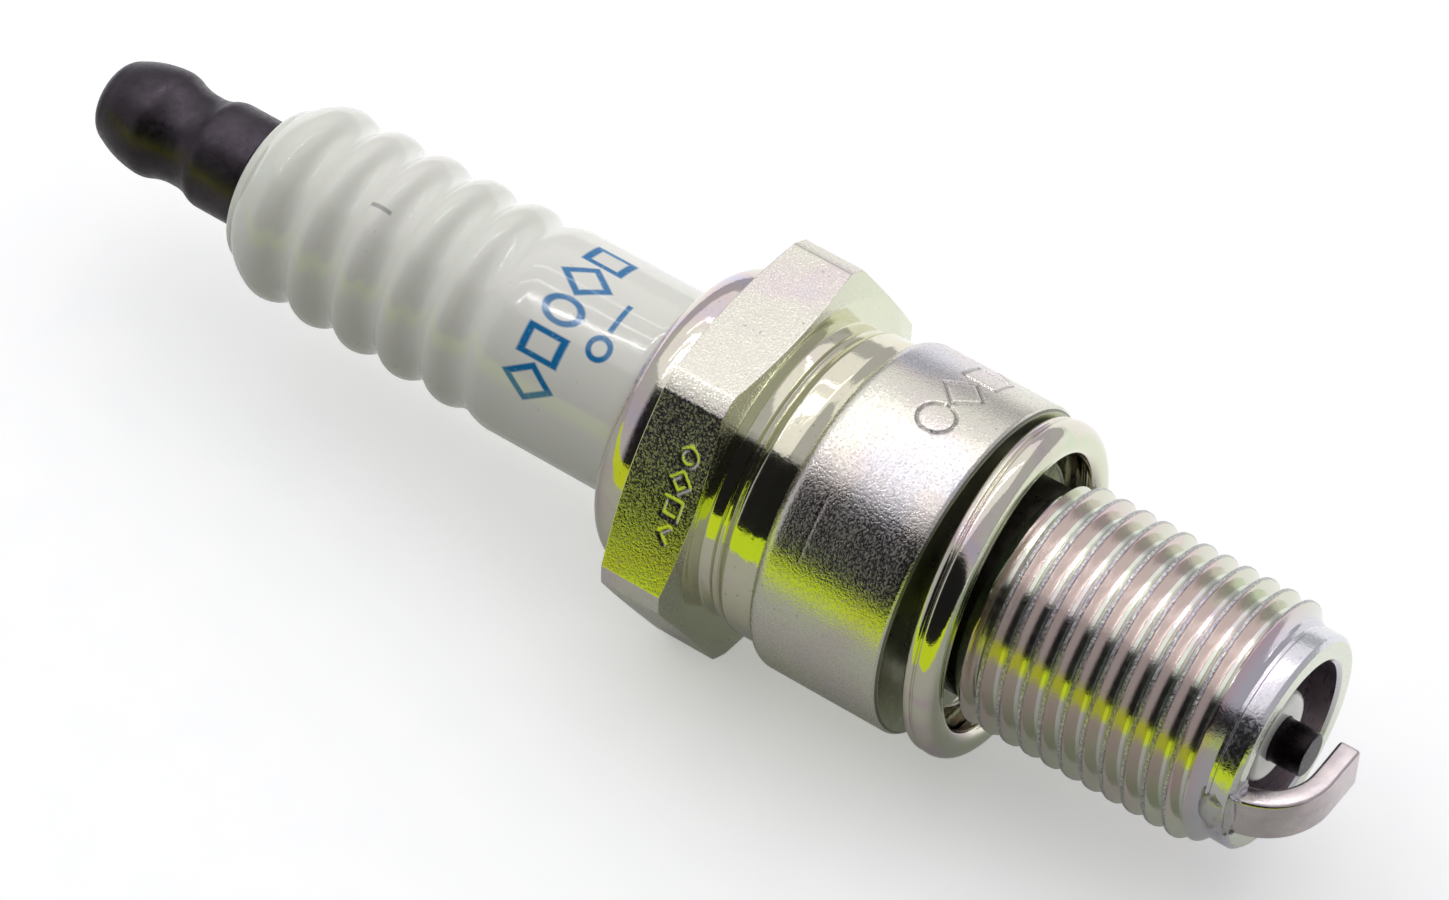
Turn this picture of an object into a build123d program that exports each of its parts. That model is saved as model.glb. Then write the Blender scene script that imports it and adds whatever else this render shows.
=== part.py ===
from build123d import *
import math
import os

# Spark plug, M14 x 1.25, 19 mm reach, flat gasket seat, 20.8 mm hexagon. Millimetres.
# Frame: +X runs along the axis towards the firing end and X = 0 is the gasket seat.
# +Z is normal to a flat of the hexagon, so the plug lies on the opposite flat.

# ---- driving dimensions: shell ----
REACH = 19.0
THREAD_R = 7.0
THREAD_PITCH = 1.25
THREAD_DEPTH = 0.767
THREAD_CREST = 1.0755
FLANGE_R = 9.575
FLANGE_LENGTH = 8.2
SEAT_R = 9.3
NECK_R = 6.1
NECK_LENGTH = 2.6
SHANK_START = 1.0
THREAD_END = 17.5
PILOT_R = 6.125
HEX_FLATS = 20.8
HEX_CORNER_R = 11.65
HEX_FRONT = -11.7
HEX_REAR = -16.1
HEX_RIM_R = 10.1
WAIST_R = 8.45
WAIST_RIDGE_X = -10.8
WAIST_BULGE_R = 8.85
WAIST_BULGE_START = -10.1
WAIST_BULGE_END = -8.9
DOME_R = 8.9
CRIMP_LIP_X = -19.1
CRIMP_LIP_R = 6.1
CAVITY_R = 7.35
MID_BORE_R = 4.95
CAVITY_END = -6.4
MID_BORE_START = -4.2
THROAT_R = 4.0
THROAT_END = 9.2
CHAMBER_R = 4.7
HEX_RIM = 0.38

# ---- driving dimensions: insulator ----
CERAMIC_TOP = -45.95
CERAMIC_R = 5.975
PLAIN_START = -28.0
PLAIN_END = -19.3
RIB_COUNT = 5
RIB_FIRST_X = -43.25
RIB_SPACING = 3.03
RIB_R = 5.74
RIB_GROWTH = 0.05
GROOVE_R = 5.16
COLLAR_R = 7.2
COLLAR_START = -12.2
COLLAR_END = -6.9
CORE_R = 4.8
CORE_START = -5.0
SEAT_START = 6.9
SEAT_LENGTH = 0.8
SEAT_INNER_R = 3.75
NOSE_TIP = 18.35
NOSE_R = 2.6
BORE_R = 2.05
ELECTRODE_BORE_R = 1.28
ELECTRODE_BORE_START = 2.4

# ---- driving dimensions: terminal, electrodes and gasket ----
STUD_R = 2.0
STUD_PITCH = 0.7
STUD_DEPTH = 0.43
STUD_LENGTH = 8.3
STUD_COLLAR = 0.5
STUD_COLLAR_R = 3.15
NUT_LENGTH = 10.45
NUT_BORE_R = 2.06
NUT_BORE_DEPTH = 9.2
ELECTRODE_R = 1.25
ELECTRODE_TIP = 20.2
COPPER_R = 0.65
TALC_START = -15.7
TALC_END = -14.1
SPARK_GAP = 1.1
STUD_TAIL_R = 1.9
SERRATED_R = 1.7
SERRATED_START = -20.6
SERRATIONS = 12
SERRATED_END = -15.5
UPPER_SEAL_START = -19.5
RESISTOR_START = -11.97
RESISTOR_END = -3.53
LOWER_SEAL_END = 0.17
KNOB_R = 1.3
KNOB_X = -0.8
HEAD_R = 1.95
HEAD_X = 0.2
COPPER_END = 16.45
STRAP_WIDTH = 2.6
STRAP_THICKNESS = 1.25
STRAP_ANGLE = 177.7
STRAP_BEND_R = 3.45
STRAP_BEND_CENTRE_R = 1.75
STRAP_END = -0.8
GASKET_OUTER_R = 9.5
GASKET_INNER_R = 6.9
GASKET_THICKNESS = 2.0
GASKET_LOBE = 1.75
GASKET_SHEET = 0.35
GASKET_X = 1.8
GASKET_TILT = 4.0
GASKET_LEAN = 215.2

RUNNING_GAP = 0.03


def turned(*outline, radii=None):
    """Turn a closed outline of (x, radius) points about the X axis."""
    corner_radii = [0.0] * len(outline)
    for corner, value in (radii or {}).items():
        corner_radii[corner] = value
    if radii:
        wire = FilletPolyline(*outline, radius=corner_radii, close=True)
    else:
        wire = Polyline(*outline, close=True)
    return revolve(make_face(wire), axis=Axis.X)


def rod(radius, start, end):
    """Plain cylinder along X."""
    return turned((start, 0), (end, 0), (end, radius), (start, radius))


def threaded(radius, pitch, depth, crest_x, *outline):
    """Turned outline with a right-hand 60 degree thread, whose crest is at crest_x on the -Z side."""
    start = min(x for x, _ in outline)
    end = max(x for x, _ in outline)
    overcut = 0.05
    slope = math.tan(math.radians(30))
    half_top = pitch * 7 / 16 + overcut * slope
    half_root = half_top - (depth + overcut) * slope
    root = radius - depth
    begin = crest_x + (math.ceil((start - crest_x) / pitch) + 0.5) * pitch
    corners = (
        (root, half_root),
        (radius + overcut, half_top),
        (radius + overcut, -half_top),
        (root, -half_root),
    )
    face = make_face(Polyline(*[(r, 0, z) for r, z in corners], close=True))
    groove = sweep(face, path=Helix(pitch, end - begin, root), is_frenet=True)
    bar = rod(radius, start, end + 1)
    screw = bar - Pos(begin, 0, 0) * Rot(0, 90, 0) * groove
    if not 0.5 * bar.volume < screw.volume < 0.97 * bar.volume:
        raise ValueError("the thread was not cut")
    return screw & turned(*outline)


def shell():
    """Steel shell: crimped rear lip, hexagon, waist, flange, thread and pilot."""
    body = turned(
        (CRIMP_LIP_X, 0),
        (CRIMP_LIP_X, DOME_R),
        (HEX_FRONT, DOME_R),
        (HEX_FRONT, WAIST_R + 0.15),
        (WAIST_RIDGE_X - 0.25, WAIST_R),
        (WAIST_RIDGE_X, WAIST_R + 0.2),
        (WAIST_RIDGE_X + 0.15, WAIST_R + 0.05),
        (WAIST_BULGE_START, WAIST_BULGE_R),
        (WAIST_BULGE_END, WAIST_BULGE_R),
        (-FLANGE_LENGTH, WAIST_R + 0.1),
        (-FLANGE_LENGTH, FLANGE_R),
        (-0.25, FLANGE_R),
        (0, SEAT_R),
        (0, NECK_R),
        (SHANK_START, NECK_R),
        (SHANK_START, 0),
        radii={1: 2.0, 7: 0.5, 8: 0.5, 10: 0.9, 13: 0.3},
    )
    body += hexagon()
    body += threaded(
        THREAD_R,
        THREAD_PITCH,
        THREAD_DEPTH,
        THREAD_CREST,
        (SHANK_START, 0),
        (SHANK_START, NECK_R),
        (NECK_LENGTH, NECK_R),
        (NECK_LENGTH + 1.0, THREAD_R + 0.1),
        (THREAD_END - 1.0, THREAD_R + 0.1),
        (THREAD_END, PILOT_R - 0.1),
        (THREAD_END + 0.2, PILOT_R - 0.1),
        (THREAD_END + 0.3, PILOT_R),
        (REACH - 0.25, PILOT_R),
        (REACH, PILOT_R - 0.25),
        (REACH, 0),
    )
    return body - shell_bore()


def hexagon():
    """Wrench hexagon with trimmed corners and chamfered rims."""
    prism = extrude(
        Plane.YZ * RegularPolygon(HEX_FLATS / 2, 6, major_radius=False),
        HEX_FRONT - HEX_REAR,
    )
    prism = Pos(HEX_REAR, 0, 0) * prism
    turning = turned(
        (HEX_REAR, 0),
        (HEX_REAR, HEX_RIM_R),
        (HEX_REAR + HEX_RIM, HEX_CORNER_R),
        (HEX_FRONT - HEX_RIM, HEX_CORNER_R),
        (HEX_FRONT, HEX_RIM_R),
        (HEX_FRONT, 0),
    )
    return prism & turning


def ledge_x(radius):
    """X of the shell's inner ledge at a radius, parallel to the insulator's seat cone."""
    return seat_x(radius) + 0.5


def seat_x(radius):
    """X of the insulator's seat cone at a radius."""
    slope = SEAT_LENGTH / (CORE_R - SEAT_INNER_R)
    return SEAT_START + (CORE_R - radius) * slope


def shell_bore():
    """Stepped bore: rear cavity, mid bore, ledge, throat and firing chamber."""
    lip_inner = CRIMP_LIP_X + 0.8
    return turned(
        (CRIMP_LIP_X - 1, 0),
        (CRIMP_LIP_X - 1, CRIMP_LIP_R),
        (lip_inner, CRIMP_LIP_R),
        (lip_inner + 1.1, CAVITY_R),
        (CAVITY_END, CAVITY_R),
        (MID_BORE_START, MID_BORE_R),
        (ledge_x(MID_BORE_R), MID_BORE_R),
        (ledge_x(THROAT_R), THROAT_R),
        (THROAT_END, THROAT_R),
        (THROAT_END + 0.7, CHAMBER_R),
        (REACH - 0.15, CHAMBER_R),
        (REACH + 0.05, CHAMBER_R + 0.2),
        (REACH + 1, CHAMBER_R + 0.2),
        (REACH + 1, 0),
    )


def rib_arcs():
    """Crest and groove arcs of the ribs, and the point where they end."""
    arcs = []
    step = RIB_SPACING / 2
    wave = []
    for i in range(RIB_COUNT):
        wave.append((RIB_FIRST_X + 2 * i * step, RIB_R + RIB_GROWTH * i))
        wave.append((RIB_FIRST_X + (2 * i + 1) * step, GROOVE_R + RIB_GROWTH * i))
    wave[-1] = (wave[-1][0], GROOVE_R + 0.42)
    wave.append((RIB_FIRST_X + 2 * RIB_COUNT * step, RIB_R + 0.2))
    here = (RIB_FIRST_X - step / 2, RIB_R - 0.14)
    for (x, radius), (next_x, next_radius) in zip(wave, wave[1:]):
        there = ((x + next_x) / 2, (radius + next_radius) / 2)
        arcs.append(ThreePointArc(here, (x, radius), there))
        here = there
    return arcs, here


def insulator():
    """Alumina insulator: five ribs, plain body, hidden collar, seat cone and nose."""
    ribs, rib_end = rib_arcs()
    rib_start = (RIB_FIRST_X - RIB_SPACING / 4, RIB_R - 0.14)
    edge = (CERAMIC_TOP, 4.05)
    shoulder = (CERAMIC_TOP + 0.6, 4.64)
    nose_start = (NOSE_TIP - 0.45, NOSE_R)
    nose_end = (NOSE_TIP, NOSE_R - 0.45)
    outline = [
        ThreePointArc(edge, (CERAMIC_TOP + 0.18, 4.46), shoulder),
        ThreePointArc(shoulder, (CERAMIC_TOP + 1.25, 5.22), rib_start),
        *ribs,
        ThreePointArc(rib_end, (rib_end[0] + 0.4, CERAMIC_R - 0.085), (PLAIN_START, CERAMIC_R)),
        Polyline(
            (PLAIN_START, CERAMIC_R),
            (PLAIN_END, CERAMIC_R),
            (PLAIN_END + 0.1, CERAMIC_R - 0.05),
            (COLLAR_START - 0.5, CERAMIC_R - 0.05),
            (COLLAR_START, COLLAR_R),
            (COLLAR_END, COLLAR_R),
            (CORE_START, CORE_R),
            (SEAT_START, CORE_R),
            (SEAT_START + SEAT_LENGTH, SEAT_INNER_R),
            (SEAT_START + SEAT_LENGTH + 0.5, SEAT_INNER_R - 0.1),
            nose_start,
        ),
        ThreePointArc(nose_start, (NOSE_TIP - 0.13, NOSE_R - 0.13), nose_end),
        Polyline(
            nose_end,
            (NOSE_TIP, ELECTRODE_BORE_R),
            (ELECTRODE_BORE_START, ELECTRODE_BORE_R),
            (ELECTRODE_BORE_START - 0.8, BORE_R),
            (CERAMIC_TOP, BORE_R),
            edge,
        ),
    ]
    return revolve(make_face(outline), axis=Axis.X)


def terminal_nut():
    """Terminal nut: rounded head, snap waist and collar, with a blind hole for the stud."""
    base = CERAMIC_TOP - STUD_COLLAR
    tip = base - NUT_LENGTH
    hole_end = base - NUT_BORE_DEPTH
    outline = [
        ThreePointArc((tip, 1.6), (tip + 0.25, 2.12), (tip + 0.8, 2.5)),
        ThreePointArc((tip + 0.8, 2.5), (tip + 2.0, 2.96), (tip + 3.3, 3.165)),
        ThreePointArc((tip + 3.3, 3.165), (tip + 3.7, 3.14), (tip + 4.1, 3.02)),
        ThreePointArc((tip + 4.1, 3.02), (tip + 4.8, 2.81), (tip + 5.7, 2.74)),
        ThreePointArc((tip + 5.7, 2.74), (tip + 6.4, 2.8), (tip + 6.9, 2.98)),
        ThreePointArc((tip + 6.9, 2.98), (tip + 7.25, 3.12), (tip + 7.6, 3.165)),
        Polyline(
            (tip + 7.6, 3.165),
            (base, 3.165),
            (base, NUT_BORE_R),
            (hole_end + 0.6, NUT_BORE_R),
            (hole_end, 0),
            (tip, 0),
            (tip, 1.6),
        ),
    ]
    return revolve(make_face(outline), axis=Axis.X)


def terminal_stud():
    """Steel stud: M4 end, collar on the insulator and a serrated end in the glass."""
    collar_x = CERAMIC_TOP - STUD_COLLAR
    end = collar_x - STUD_LENGTH
    neck_r = STUD_R - STUD_DEPTH - 0.02
    join_x = collar_x - 0.1
    stud = turned(
        (join_x, 0),
        (join_x, neck_r),
        (collar_x, neck_r),
        (collar_x, STUD_COLLAR_R),
        (CERAMIC_TOP, STUD_COLLAR_R),
        (CERAMIC_TOP, STUD_TAIL_R),
        (SERRATED_START - 0.4, STUD_TAIL_R),
        (SERRATED_START, SERRATED_R),
        (SERRATED_END, SERRATED_R),
        (SERRATED_END, 0),
    )
    stud += threaded(
        STUD_R,
        STUD_PITCH,
        STUD_DEPTH,
        end,
        (end, 0),
        (end, STUD_R - 0.45),
        (end + 0.55, STUD_R + 0.1),
        (collar_x - 1.0, STUD_R + 0.1),
        (collar_x - 0.5, neck_r),
        (join_x, neck_r),
        (join_x, 0),
    )
    notch = Pos(SERRATED_END - 2.1, SERRATED_R, 0) * Box(4.0, 0.3, 0.3)
    serrations = [Rot(360 * i / SERRATIONS, 0, 0) * notch for i in range(SERRATIONS)]
    return stud - serrations


def center_electrode():
    """Nickel electrode: knob and head in the lower glass, shaft through the nose."""
    shaft = turned(
        (KNOB_X, 0),
        (KNOB_X, KNOB_R),
        (HEAD_X, KNOB_R),
        (HEAD_X, HEAD_R),
        (HEAD_X + 1.3, HEAD_R),
        (HEAD_X + 2.0, ELECTRODE_R),
        (ELECTRODE_TIP - 0.12, ELECTRODE_R),
        (ELECTRODE_TIP, ELECTRODE_R - 0.12),
        (ELECTRODE_TIP, 0),
    )
    return shaft - rod(COPPER_R + RUNNING_GAP, KNOB_X - 0.2, COPPER_END + 0.05)


def ground_electrode():
    """Nickel strap on the ring face, bent over the centre electrode."""
    arm_x = ELECTRODE_TIP + SPARK_GAP + STRAP_THICKNESS / 2
    bend_x = arm_x - STRAP_BEND_R
    inner = STRAP_BEND_R - STRAP_THICKNESS / 2
    outer = STRAP_BEND_R + STRAP_THICKNESS / 2
    rise = REACH - bend_x

    def on_bend(radius, x_offset):
        return (bend_x + x_offset, STRAP_BEND_CENTRE_R + math.sqrt(radius**2 - x_offset**2))

    def mid_bend(radius):
        return on_bend(radius, radius * math.sin(math.radians(50)))

    side = make_face([
        ThreePointArc(on_bend(inner, rise), mid_bend(inner), (bend_x + inner, STRAP_BEND_CENTRE_R)),
        Line((bend_x + inner, STRAP_BEND_CENTRE_R), (bend_x + inner, STRAP_END)),
        Line((bend_x + inner, STRAP_END), (bend_x + outer, STRAP_END)),
        Line((bend_x + outer, STRAP_END), (bend_x + outer, STRAP_BEND_CENTRE_R)),
        ThreePointArc((bend_x + outer, STRAP_BEND_CENTRE_R), mid_bend(outer), on_bend(outer, rise)),
        Line(on_bend(outer, rise), on_bend(inner, rise)),
    ])
    strap = extrude(side, STRAP_WIDTH / 2, both=True)
    return Rot(STRAP_ANGLE, 0, 0) * strap


def crush_gasket():
    """Folded sheet-steel washer, loose on the neck and leaning off the seat."""
    half = GASKET_THICKNESS / 2
    lobe_r = GASKET_OUTER_R - GASKET_LOBE / 2
    skin = Pos(0, lobe_r) * RectangleRounded(GASKET_THICKNESS, GASKET_LOBE, 0.8)
    hollow = Pos(0, lobe_r) * RectangleRounded(
        GASKET_THICKNESS - 2 * GASKET_SHEET, GASKET_LOBE - 2 * GASKET_SHEET, 0.45
    )
    mouth = Pos(-half + GASKET_SHEET + 0.25, lobe_r - 0.7) * Rectangle(0.5, 0.9)
    lip_length = lobe_r - GASKET_INNER_R
    lip = Pos(-half + GASKET_SHEET / 2, GASKET_INNER_R + lip_length / 2) * Rectangle(
        GASKET_SHEET, lip_length
    )
    ring = revolve(skin - hollow - mouth + lip, axis=Axis.X)
    lean = Rot(GASKET_LEAN, 0, 0) * Rot(0, 0, -GASKET_TILT) * Rot(-GASKET_LEAN, 0, 0)
    return Pos(GASKET_X, 0, 0) * lean * ring


def packing_ring(x):
    """Wire ring packed between the shell's cavity and the insulator."""
    wire_r = (CAVITY_R - CERAMIC_R) / 2 - RUNNING_GAP
    centre_r = (CAVITY_R + CERAMIC_R) / 2
    return revolve(Pos(x, centre_r) * Circle(wire_r), axis=Axis.X)


def talc_fill():
    """Pressed talc between the two packing rings."""
    inner = CERAMIC_R + RUNNING_GAP
    outer = CAVITY_R - RUNNING_GAP
    return turned((TALC_START, inner), (TALC_START, outer), (TALC_END, outer), (TALC_END, inner))


def inner_gasket():
    """Thin steel washer between the insulator's seat cone and the shell's ledge."""
    high = CORE_R - 0.05
    low = THROAT_R + 0.02
    return turned(
        (seat_x(high) + RUNNING_GAP, high),
        (seat_x(low) + RUNNING_GAP, low),
        (ledge_x(low) - RUNNING_GAP, low),
        (ledge_x(high) - RUNNING_GAP, high),
    )


def seal_stack():
    """Glass seal, resistor and glass seal inside the insulator's bore."""
    fill_r = BORE_R - RUNNING_GAP
    stud_end = SERRATED_END + RUNNING_GAP
    upper = rod(fill_r, UPPER_SEAL_START, RESISTOR_START - RUNNING_GAP)
    upper -= rod(SERRATED_R + RUNNING_GAP, UPPER_SEAL_START - 0.5, stud_end)
    middle = rod(fill_r, RESISTOR_START, RESISTOR_END)
    lower = rod(fill_r, RESISTOR_END + RUNNING_GAP, LOWER_SEAL_END)
    lower -= rod(KNOB_R + RUNNING_GAP, KNOB_X - RUNNING_GAP, LOWER_SEAL_END + 1.0)
    return upper, middle, lower


upper_seal, resistor, lower_seal = seal_stack()

nodes = {
    "terminal_nut": terminal_nut(),
    "terminal_stud": terminal_stud(),
    "insulator": insulator(),
    "upper_glass_seal": upper_seal,
    "resistor": resistor,
    "lower_glass_seal": lower_seal,
    "center_electrode": center_electrode(),
    "electrode_core": rod(COPPER_R, KNOB_X, COPPER_END),
    "shell": shell(),
    "upper_packing_ring": packing_ring(TALC_START - 0.7),
    "talc_fill": talc_fill(),
    "lower_packing_ring": packing_ring(TALC_END + 0.7),
    "inner_gasket": inner_gasket(),
    "crush_gasket": crush_gasket(),
    "ground_electrode": ground_electrode(),
}

os.makedirs("parts", exist_ok=True)
for name, shape in nodes.items():
    export_step(shape, f"parts/{name}.step")
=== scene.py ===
"""Looks of a spark plug: detailed meshes, procedural materials, light and camera.

Lengths in this file are millimetres along the plug's own axis and turn into metres in to_object.
X runs along the plug towards the firing end, and angles are degrees about X from +Y towards +Z.
"""

import math

import bmesh
import bpy
import numpy as np
from mathutils import Matrix, Vector, noise


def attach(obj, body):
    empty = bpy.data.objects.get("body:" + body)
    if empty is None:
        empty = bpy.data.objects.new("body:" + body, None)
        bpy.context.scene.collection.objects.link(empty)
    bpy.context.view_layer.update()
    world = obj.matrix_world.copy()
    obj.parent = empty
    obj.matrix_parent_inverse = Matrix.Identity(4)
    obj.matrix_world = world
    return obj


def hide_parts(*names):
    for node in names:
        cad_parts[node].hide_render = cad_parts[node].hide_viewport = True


MM = 0.001

# ---- shell ----
LIP_X, LIP_R, DOME_R = -19.1, 6.1, 8.9
HEX_REAR, HEX_FRONT = -16.1, -11.7
HEX_APOTHEM, HEX_CORNER_R = 10.4, 11.65
HEX_RIM_R, HEX_RIM = 10.1, 0.38
WAIST_R, RIDGE_X, BULGE_R = 8.45, -10.8, 8.85
BULGE_START, BULGE_END = -10.1, -8.9
FLANGE_R, FLANGE_LENGTH, SEAT_R = 9.575, 8.2, 9.3
NECK_R, NECK_LENGTH = 6.1, 2.6
THREAD_R, THREAD_PITCH, THREAD_DEPTH, THREAD_PHASE = 7.0, 1.25, 0.767, 0.138
THREAD_END, PILOT_R, RING_X = 17.5, 6.125, 19.0
CAVITY_R, CAVITY_START, CAVITY_END = 7.35, -17.2, -6.4
MID_BORE_R, MID_BORE_START, LEDGE_START = 4.95, -4.2, 7.29
THROAT_R, THROAT_START, THROAT_END = 4.0, 8.02, 9.2
CHAMBER_R, CHAMBER_START = 4.7, 9.9

# ---- insulator ----
CERAMIC_TOP, CERAMIC_R, PLAIN_START, PLAIN_END = -45.95, 5.975, -28.0, -19.3
RIB_COUNT, RIB_FIRST, RIB_SPACING = 5, -43.25, 3.03
RIB_R, GROOVE_R, RIB_GROWTH = 5.74, 5.16, 0.05
COLLAR_R, COLLAR_START, COLLAR_END = 7.2, -12.2, -6.9
CORE_R, CORE_START, SEAT_START = 4.8, -5.0, 6.9
NOSE_TIP, NOSE_R, BORE_R, PIN_BORE_R = 18.35, 2.6, 2.05, 1.28

# ---- terminal, electrodes, gasket ----
STUD_R, STUD_PITCH, STUD_DEPTH = 2.0, 0.7, 0.43
STUD_COLLAR, STUD_COLLAR_R, STUD_LENGTH = 0.5, 3.15, 8.3
NUT_LENGTH, NUT_BORE_R, NUT_BORE = 10.45, 2.06, 9.2
PIN_R, PIN_TIP = 1.25, 20.2
GAP, STRAP_WIDTH, STRAP_THICKNESS, STRAP_BEND_R = 1.1, 2.6, 1.25, 3.45
STRAP_BEND_CENTRE_R, STRAP_END, STRAP_ANGLE = 1.75, -0.8, 177.7
GASKET_X, GASKET_TILT, GASKET_LEAN = 1.8, 4.0, 215.2
STUD_TAIL_R, STUD_TAIL_END = 1.9, -21.0
SERRATED_R, SERRATED_START, SERRATED_END = 1.7, -20.6, -15.5
SERRATION_START, SERRATION_END, SERRATIONS, SERRATION_DEPTH = -19.6, -15.6, 12, 0.12
PIN_START, PIN_HEAD_R, PIN_COLLAR_R, COPPER_R, COPPER_END = -0.8, 1.3, 1.95, 0.68, 16.5
PIN_COLLAR_START, PIN_COLLAR_END, PIN_STEM_START = 0.2, 1.5, 2.2
KNOB_R, KNOB_WAIST_R, KNOB_END = 3.165, 2.74, 7.6

# Arcs of the knob on the terminal, as distances from its tip and radii.
KNOB_ARCS = (
    ((0.0, 1.6), (0.25, 2.12), (0.8, 2.5)),
    ((0.8, 2.5), (2.0, 2.96), (3.3, KNOB_R)),
    ((3.3, KNOB_R), (3.7, 3.14), (4.1, 3.02)),
    ((4.1, 3.02), (4.8, 2.81), (5.7, KNOB_WAIST_R)),
    ((5.7, KNOB_WAIST_R), (6.4, 2.8), (6.9, 2.98)),
    ((6.9, 2.98), (7.25, 3.12), (KNOB_END, KNOB_R)),
)

# Section of the folded gasket, as positions along the plug, radii and fillets.
GASKET_SECTION = (
    (-0.65, 6.95), (-0.93, 6.9, 0.1), (-0.985, 7.2, 0.2), (-0.985, 9.38, 0.5), (-0.42, 9.42, 0.12),
    (-0.30, 9.22, 0.05), (-0.18, 9.47, 0.16), (0.98, 9.47, 0.95), (0.99, 7.75, 0.62), (0.42, 7.75, 0.22),
    (0.30, 8.0, 0.1), (0.62, 8.12, 0.2), (0.62, 9.1, 0.5), (-0.15, 9.12, 0.2), (-0.65, 9.05, 0.3),
    (-0.65, 6.95),
)

# How far the strap's last rings sit from its end, and how thick they are.
STRAP_TIP = ((0.16, 1.0), (0.07, 0.985), (0.02, 0.95), (0.0, 0.88))

# Weld beads at the strap's foot: name, centre, radii, seed and roughness.
WELD_BEADS = (
    ("weld_bulge", (18.1, 6.0, 0.1), (0.75, 0.32, 1.25), 1.0, 0.22),
    ("weld_flash_outer", (18.95, 5.95, 0.0), (0.28, 0.22, 1.35), 7.0, 0.35),
    ("weld_flash_near", (19.0, 5.26, -1.32), (0.3, 0.75, 0.22), 3.0, 0.5),
    ("weld_flash_far", (19.0, 5.26, 1.32), (0.3, 0.75, 0.22), 9.0, 0.5),
    ("weld_burr_near", (19.15, 5.78, -1.4), (0.3, 0.16, 0.16), 12.0, 0.6),
)

# ---- the shell's materials, in the order of its material slots ----
SATIN, GLOSS, THREAD, BORE, WAIST, SHADOWED_SEAT, PILOT, HEXAGON = range(8)

# ---- where the stamped and printed marks are ----
STAMPED_FACET, FACET_STAMP_X, FACET_STAMP_SHIFT = 150.0, -13.1, -0.3
FLANGE_STAMP_ANGLE, FLANGE_STAMP_X = 64.0, -3.5
BAND_START, BAND_END, BAND_STEP = -6.2, -1.0, 0.08
SCRATCH_X, SCRATCH_ANGLES, SCRATCH_DEPTH = -5.85, (124.0, 151.0), 0.02
PRINT_ANGLE, PRINT_X, PRINT_SPACING = 110.5, -25.1, 2.15
SECOND_LINE_X, TICK_X, TICK_ANGLE = -22.2, -37.2, 109.0


# ======== outlines and grids ========

def arc(start, middle, end, count=14):
    """Points on the circle through three points, from start to end."""
    a, b, c = (np.array(p, float) for p in (start, middle, end))
    ab, ac = b - a, c - a
    twice = 2 * (ab[0] * ac[1] - ab[1] * ac[0])
    centre = a + np.array([
        ac[1] * (ab @ ab) - ab[1] * (ac @ ac),
        ab[0] * (ac @ ac) - ac[0] * (ab @ ab),
    ]) / twice
    first, mid, last = (math.atan2(*(p - centre)[::-1]) for p in (a, b, c))
    turn = (last - first) % (2 * math.pi)
    if (mid - first) % (2 * math.pi) > turn:
        turn -= 2 * math.pi
    radius = np.linalg.norm(a - centre)
    angles = first + turn * np.linspace(0, 1, count)
    return [tuple(centre + radius * np.array([math.cos(t), math.sin(t)])) for t in angles]


def outline(*corners, step=0.6):
    """Points along straight runs between (x, radius) corners; a third number is a corner's fillet."""
    points = []
    for i, corner in enumerate(corners):
        here = np.array(corner[:2], float)
        fillet = corner[2] if len(corner) > 2 else 0
        if not fillet or i in (0, len(corners) - 1):
            points.append(here)
            continue
        back = np.array(corners[i - 1][:2], float) - here
        ahead = np.array(corners[i + 1][:2], float) - here
        back, ahead = back / np.linalg.norm(back), ahead / np.linalg.norm(ahead)
        half = math.acos(max(-1, min(1, back @ ahead))) / 2
        bisector = (back + ahead) / np.linalg.norm(back + ahead)
        centre = here + bisector * fillet / math.sin(half)
        reach = fillet / math.tan(half)
        count = 5 + int(fillet / 0.12)
        points.extend(np.array(p) for p in arc(
            here + back * reach, centre - bisector * fillet, here + ahead * reach, count
        ))
    dense = [points[0]]
    for a, b in zip(points, points[1:]):
        pieces = max(1, int(np.linalg.norm(b - a) / step))
        dense.extend(a + (b - a) * k / pieces for k in range(1, pieces + 1))
    return np.array(dense)


def turned_rows(points, angles):
    """X and radius arrays, a row for each outline point and a column for each angle."""
    points = np.array(points, float)
    return (np.repeat(points[:, :1], len(angles), 1), np.repeat(points[:, 1:], len(angles), 1))


def soft_min(a, b, blend):
    """The smaller of two arrays, rounded where they cross."""
    overlap = np.maximum(blend - np.abs(a - b), 0)
    return np.minimum(a, b) - overlap**2 / (4 * blend)


def speckle(x, radius, angle, scale, seed=0.0):
    """Smooth noise from -1 to 1 at each point of a grid."""
    out = np.empty(x.shape)
    rad = np.radians(angle)
    y, z = radius * np.cos(rad), radius * np.sin(rad)
    for index in np.ndindex(x.shape):
        out[index] = noise.noise(Vector((x[index], y[index], z[index] + seed)) * scale)
    return out


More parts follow.
